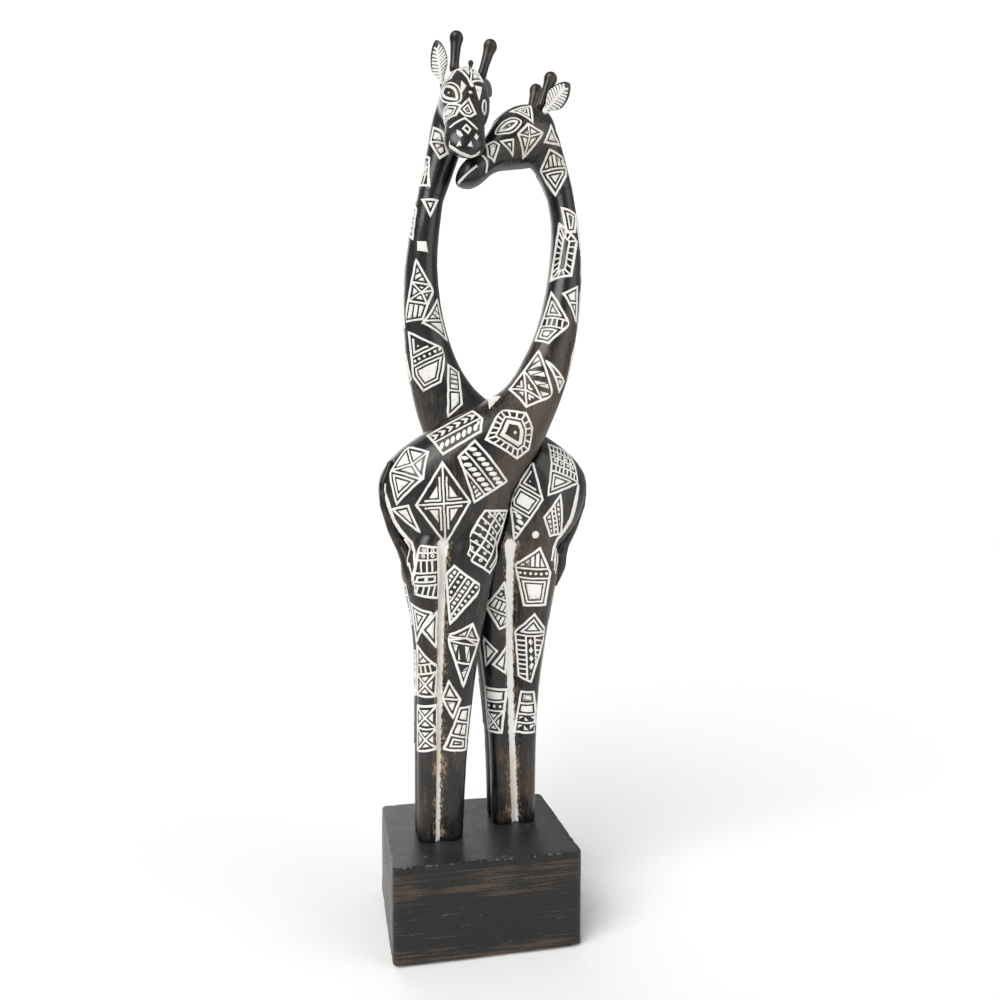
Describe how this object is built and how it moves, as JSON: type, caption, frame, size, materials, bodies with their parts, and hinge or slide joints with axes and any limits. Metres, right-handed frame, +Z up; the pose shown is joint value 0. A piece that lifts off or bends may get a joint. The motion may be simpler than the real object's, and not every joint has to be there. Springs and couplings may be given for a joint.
{
  "type": "carved giraffe statue",
  "caption": "Carved giraffes standing side by side on a block, with crossed necks, touching heads and raised white patterns.",
  "frame": {"origin": "centre of the felt's underside, which the statue stands on", "axes": "+Z up; the front giraffe faces +X and the rear one -X; the viewer is at -Y, so +Y runs from the front giraffe to the rear one"},
  "size_m": [0.127, 0.088, 0.5073],
  "materials": {
    "carved_dark": "satin black paint rubbed through to brown, with chalk-white painted relief",
    "chalk_paint": "chalk-white paint over the carved ear, with dark veins",
    "base_paint": "satin black paint with brushed brown streaks and worn edges",
    "bare_wood": "bare turned dowel",
    "steel": "zinc-plated",
    "felt": "matt felt"
  },
  "bodies": {
    "root": {"base_block": "base_paint", "felt_liner": "felt", "front_giraffe_body": "carved_dark", "front_giraffe_head": "carved_dark", "front_giraffe_tail": "carved_dark", "front_giraffe_near_horn": "carved_dark", "front_giraffe_far_horn": "carved_dark", "rear_giraffe_body": "carved_dark", "rear_giraffe_head": "carved_dark", "rear_giraffe_tail": "carved_dark", "rear_giraffe_left_horn": "carved_dark", "rear_giraffe_right_horn": "carved_dark", "rear_giraffe_middle_horn": "carved_dark", "front_giraffe_near_ear": "chalk_paint", "front_giraffe_far_ear": "chalk_paint", "rear_giraffe_left_ear": "chalk_paint", "rear_giraffe_right_ear": "chalk_paint", "front_neck_dowel": "bare_wood", "rear_neck_dowel": "bare_wood", "flank_dowel": "bare_wood", "front_foot_dowels": "bare_wood", "rear_foot_dowels": "bare_wood", "front_foot_screw": "steel", "rear_foot_screw": "steel"}
  },
  "joints": []
}
